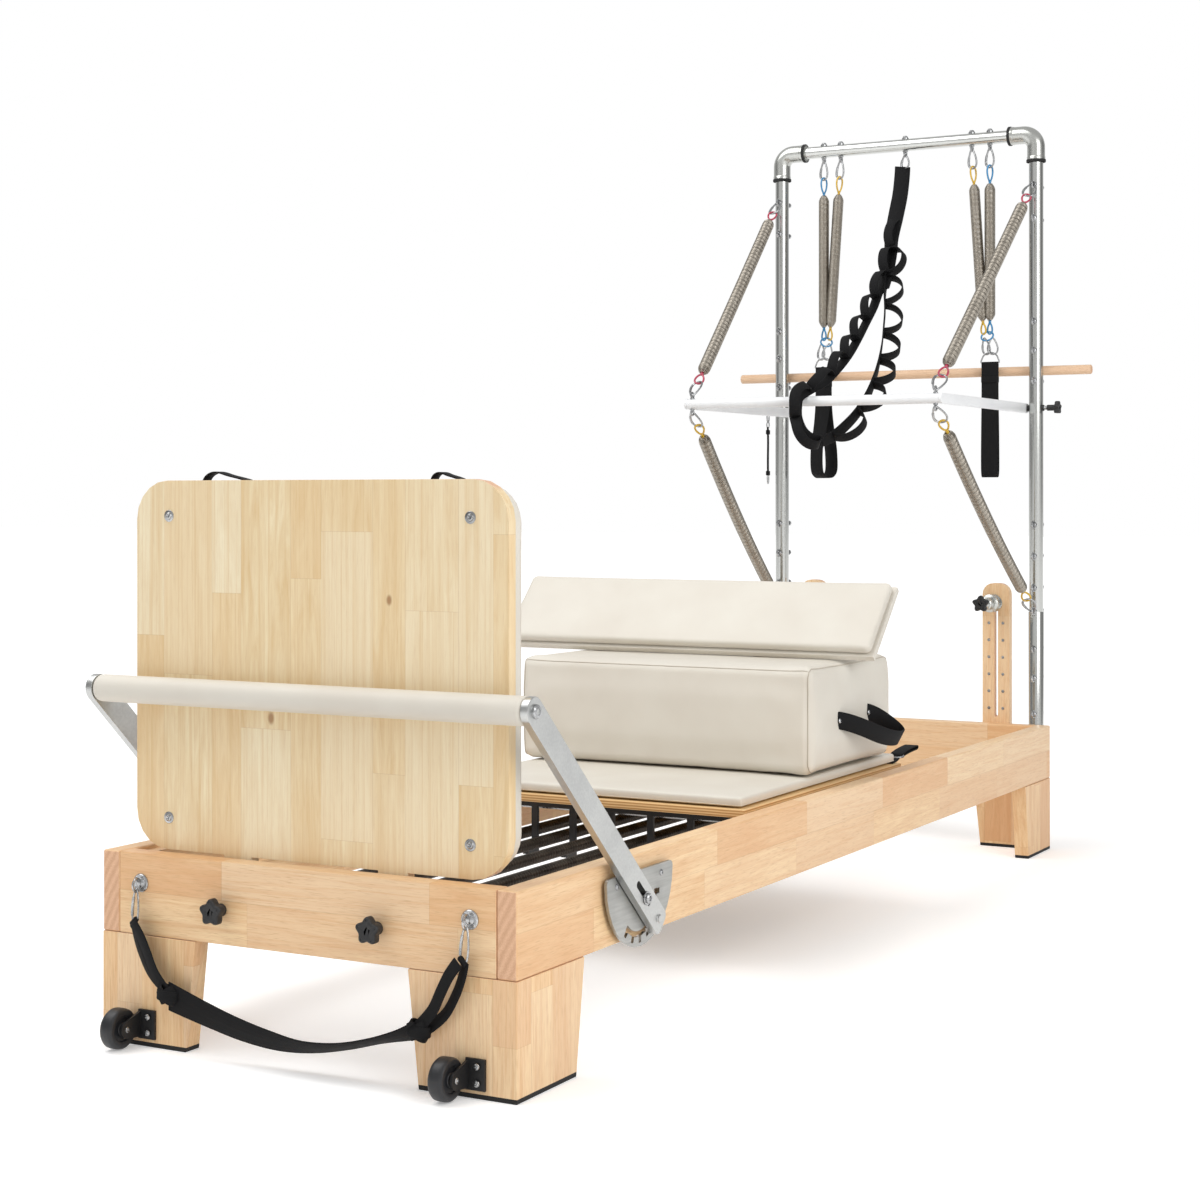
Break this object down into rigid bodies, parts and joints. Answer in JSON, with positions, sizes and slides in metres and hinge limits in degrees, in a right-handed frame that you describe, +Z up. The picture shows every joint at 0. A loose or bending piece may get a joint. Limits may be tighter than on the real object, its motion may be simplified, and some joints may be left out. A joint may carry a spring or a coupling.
{
  "type": "pilates reformer with tower",
  "caption": "Wooden pilates reformer with sprung sliding carriage, padded jump board, footbar, sitting box, sloping pad and a steel half tower with push bar, springs and straps.",
  "frame": {"origin": "middle of the whole machine's length and width, at the floor under the legs", "axes": "+X runs along the rails from the foot end toward the tower, +Y to the machine's left seen from the foot end, +Z up"},
  "size_m": [2.5277, 0.893, 1.687],
  "materials": {
    "rail_wood": "clear satin lacquer",
    "board_wood": "clear satin lacquer",
    "plywood": "lacquered edge grain",
    "upholstery": "soft matt grain",
    "alloy": "brushed satin",
    "steel_tube": "polished steel",
    "spring_steel": "oiled wire",
    "white_bar": "satin powder coat",
    "black_metal": "black powder coat",
    "black_plastic": "moulded, fine texture",
    "webbing": "woven nylon webbing"
  },
  "bodies": {
    "frame": {"side_rail_left": "rail_wood", "side_rail_right": "rail_wood", "foot_rail": "rail_wood", "head_rail": "rail_wood", "leg_foot_left": "rail_wood", "leg_foot_right": "rail_wood", "leg_head_left": "rail_wood", "leg_head_right": "rail_wood", "spring_bar": "black_metal", "quadrant_plate_left": "alloy", "quadrant_plate_right": "alloy", "riser_left": "rail_wood", "riser_right": "rail_wood", "tower_post_left": "steel_tube", "tower_post_right": "steel_tube", "tower_elbow_left": "steel_tube", "tower_elbow_right": "steel_tube", "tower_top_bar": "steel_tube", "wheel_bracket_left": "black_metal", "wheel_bracket_right": "black_metal", "board_keeper": "black_metal", "carry_strap": "webbing", "push_spring_upper_left": "spring_steel", "push_spring_upper_right": "spring_steel", "push_spring_lower_left": "spring_steel", "push_spring_lower_right": "spring_steel", "reformer_springs": "spring_steel", "ladder_strap": "webbing"},
    "carriage": {"carriage_deck": "plywood", "carriage_pad": "upholstery", "carriage_frame": "black_metal"},
    "front_axle": {"carriage_wheels_front": "black_plastic"},
    "rear_axle": {"carriage_wheels_rear": "black_plastic"},
    "box": {"sitting_box": "upholstery"},
    "slope": {"slope_stand": "plywood", "slope_pad": "upholstery"},
    "bar_pivot": {"footbar_bolt_left": "steel_tube", "footbar_bolt_right": "steel_tube"},
    "footbar": {"footbar_arm_left": "alloy", "footbar_arm_right": "alloy", "footbar_roller": "upholstery"},
    "jump_board": {"jump_board": "board_wood", "jump_board_pad": "upholstery"},
    "clamp_left": {"clamp_knob_left": "black_plastic"},
    "clamp_right": {"clamp_knob_right": "black_plastic"},
    "wheel_left": {"transport_wheel_left": "black_plastic"},
    "wheel_right": {"transport_wheel_right": "black_plastic"},
    "push_bar": {"push_bar": "white_bar"},
    "push_knob": {"push_bar_knob": "black_plastic"},
    "hanging_left": {"hanging_springs_left": "spring_steel", "hand_loop_left": "webbing"},
    "hanging_right": {"hanging_springs_right": "spring_steel", "hand_loop_right": "webbing"},
    "safety_strap": {"safety_strap": "webbing"},
    "dowel": {"dowel": "board_wood"},
    "pulley_left": {"riser_pulley_left": "steel_tube"},
    "pulley_right": {"riser_pulley_right": "steel_tube"},
    "pulley_knob_left": {"riser_knob_left": "black_plastic"},
    "pulley_knob_right": {"riser_knob_right": "black_plastic"}
  },
  "joints": [
    {"name": "carriage_slide", "type": "slide", "parent": "frame", "child": "carriage", "axis": [1, 0, 0], "range_m": [0, 0.68], "stiffness_N_per_m": 250, "springref_m": -0.08, "deforming": ["reformer_springs"]},
    {"name": "front_axle_spin", "type": "hinge", "parent": "carriage", "child": "front_axle", "pos_m": [-0.27405, 0, 0.2503], "axis": [0, 1, 0], "range_deg": [0, 2400]},
    {"name": "rear_axle_spin", "type": "hinge", "parent": "carriage", "child": "rear_axle", "pos_m": [0.29645, 0, 0.2503], "axis": [0, 1, 0], "range_deg": [0, 2400]},
    {"name": "box_lift", "type": "slide", "parent": "carriage", "child": "box", "axis": [0, 0, 1], "range_m": [0, 0.15]},
    {"name": "slope_lift", "type": "slide", "parent": "box", "child": "slope", "axis": [0, 0, 1], "range_m": [0, 0.07]},
    {"name": "footbar_hinge", "type": "hinge", "parent": "frame", "child": "bar_pivot", "pos_m": [-0.87155, 0, 0.226], "axis": [0, 1, 0], "range_deg": [-43.3, 0]},
    {"name": "footbar_drop", "type": "slide", "parent": "bar_pivot", "child": "footbar", "axis": [0.7295, 0, -0.684], "range_m": [0, 0.0095]},
    {"name": "jump_board_lift", "type": "slide", "parent": "frame", "child": "jump_board", "axis": [0, 0, 1], "range_m": [0, 0.35]},
    {"name": "clamp_left_spin", "type": "hinge", "parent": "frame", "child": "clamp_left", "pos_m": [-1.20155, 0.137, 0.216], "axis": [1, 0, 0], "continuous": true},
    {"name": "clamp_right_spin", "type": "hinge", "parent": "frame", "child": "clamp_right", "pos_m": [-1.20155, -0.137, 0.216], "axis": [1, 0, 0], "continuous": true},
    {"name": "wheel_left_spin", "type": "hinge", "parent": "frame", "child": "wheel_left", "pos_m": [-1.23405, 0.304, 0.031], "axis": [0, 1, 0], "continuous": true},
    {"name": "wheel_right_spin", "type": "hinge", "parent": "frame", "child": "wheel_right", "pos_m": [-1.23405, -0.27, 0.031], "axis": [0, 1, 0], "continuous": true},
    {"name": "push_bar_hinge", "type": "hinge", "parent": "frame", "child": "push_bar", "pos_m": [1.21655, 0, 1.024], "axis": [0, 1, 0], "range_deg": [-35, 60], "deforming": ["push_spring_upper_left", "push_spring_upper_right", "push_spring_lower_left", "push_spring_lower_right", "ladder_strap"]},
    {"name": "push_knob_spin", "type": "hinge", "parent": "push_bar", "child": "push_knob", "pos_m": [1.21655, 0, 1.024], "axis": [0, 1, 0], "continuous": true},
    {"name": "hanging_left_swing", "type": "hinge", "parent": "frame", "child": "hanging_left", "pos_m": [1.21655, 0, 1.64311], "axis": [0, 1, 0], "range_deg": [0, 30]},
    {"name": "hanging_right_swing", "type": "hinge", "parent": "frame", "child": "hanging_right", "pos_m": [1.21655, 0, 1.64311], "axis": [0, 1, 0], "range_deg": [0, 30]},
    {"name": "safety_strap_swing", "type": "hinge", "parent": "frame", "child": "safety_strap", "pos_m": [1.21655, 0.362, 1.024], "axis": [0, 1, 0], "range_deg": [-30, 30]},
    {"name": "dowel_lift", "type": "slide", "parent": "frame", "child": "dowel", "axis": [0, 0, 1], "range_m": [0, 0.1]},
    {"name": "pulley_left_slide", "type": "slide", "parent": "frame", "child": "pulley_left", "axis": [0, 0, -1], "range_m": [0, 0.24]},
    {"name": "pulley_right_slide", "type": "slide", "parent": "frame", "child": "pulley_right", "axis": [0, 0, -1], "range_m": [0, 0.24]},
    {"name": "pulley_left_knob_spin", "type": "hinge", "parent": "pulley_left", "child": "pulley_knob_left", "pos_m": [1.19845, 0.232, 0.568], "axis": [1, 0, 0], "continuous": true},
    {"name": "pulley_right_knob_spin", "type": "hinge", "parent": "pulley_right", "child": "pulley_knob_right", "pos_m": [1.19845, -0.232, 0.568], "axis": [1, 0, 0], "continuous": true}
  ],
  "couplings": [
    {"joint": "front_axle_spin", "follows": "carriage_slide", "rad_per_m": 58.824},
    {"joint": "rear_axle_spin", "follows": "carriage_slide", "rad_per_m": 58.824}
  ]
}
